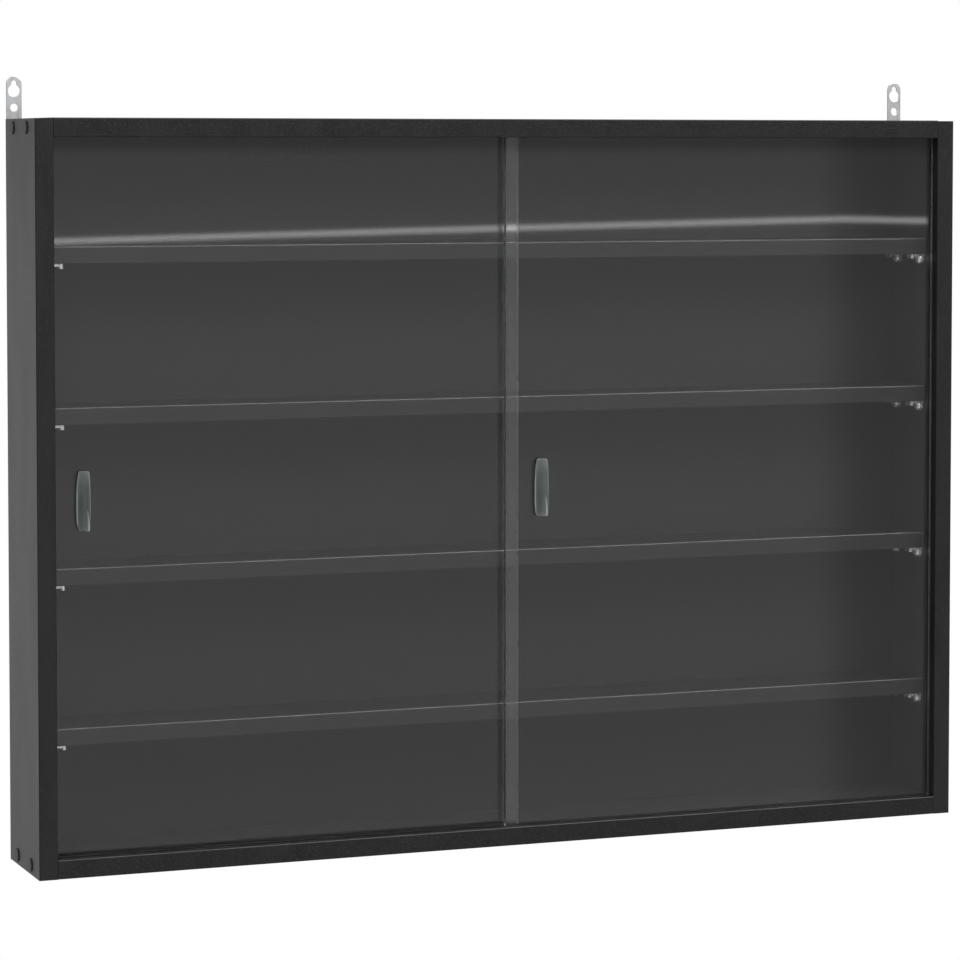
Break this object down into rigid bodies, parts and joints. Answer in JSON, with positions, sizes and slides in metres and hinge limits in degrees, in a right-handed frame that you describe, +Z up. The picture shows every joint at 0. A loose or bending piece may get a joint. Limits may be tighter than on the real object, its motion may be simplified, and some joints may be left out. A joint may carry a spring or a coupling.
{
  "type": "wall mounted display cabinet",
  "caption": "Shallow wide wall display cabinet in black board with loose shelves, overlapping sliding glass doors with finger pulls, and keyhole hanging plates.",
  "frame": {"origin": "on the wall plane, midway between the two round fixing holes of the hanging plates", "axes": "+X to the viewer's right, +Y into the wall, +Z up; the doors face -Y"},
  "size_m": [0.802, 0.0965, 0.6275],
  "materials": {
    "black_board": "satin black decor foil on fibreboard",
    "back_sheet": "matt black hardboard",
    "glass": "clear float glass, ground edges",
    "clear_plastic": "clear moulded plastic",
    "clear_tape": "clear double-sided foam tape",
    "track_plastic": "black extruded plastic",
    "nickel": "nickel plated die-cast",
    "screw_steel": "zinc plated steel",
    "cap_plastic": "satin black moulded plastic",
    "zinc": "bright zinc plated sheet steel"
  },
  "bodies": {
    "cabinet": {"side_panel_left": "black_board", "side_panel_right": "black_board", "top_board": "black_board", "bottom_board": "black_board", "shelf_1": "black_board", "shelf_2": "black_board", "shelf_3": "black_board", "shelf_4": "black_board", "back_panel": "back_sheet", "shelf_supports_1": "nickel", "shelf_supports_2": "nickel", "shelf_supports_3": "nickel", "shelf_supports_4": "nickel", "door_track_lower": "track_plastic", "door_track_upper": "track_plastic", "hanger_left": "zinc", "hanger_screws_left": "zinc", "carcass_screws_bottom_left": "screw_steel", "screw_caps_bottom_left": "cap_plastic", "carcass_screws_top_left": "screw_steel", "screw_caps_top_left": "cap_plastic", "hanger_right": "zinc", "hanger_screws_right": "zinc", "carcass_screws_bottom_right": "screw_steel", "screw_caps_bottom_right": "cap_plastic", "carcass_screws_top_right": "screw_steel", "screw_caps_top_right": "cap_plastic"},
    "left_door": {"glass_door_left": "glass", "finger_pull_left": "clear_plastic", "pull_tape_left": "clear_tape"},
    "right_door": {"glass_door_right": "glass", "finger_pull_right": "clear_plastic", "pull_tape_right": "clear_tape"}
  },
  "joints": [
    {"name": "left_door_slide", "type": "slide", "parent": "cabinet", "child": "left_door", "axis": [1, 0, 0], "range_m": [0, 0.172]},
    {"name": "right_door_slide", "type": "slide", "parent": "cabinet", "child": "right_door", "axis": [-1, 0, 0], "range_m": [0, 0.172]}
  ]
}
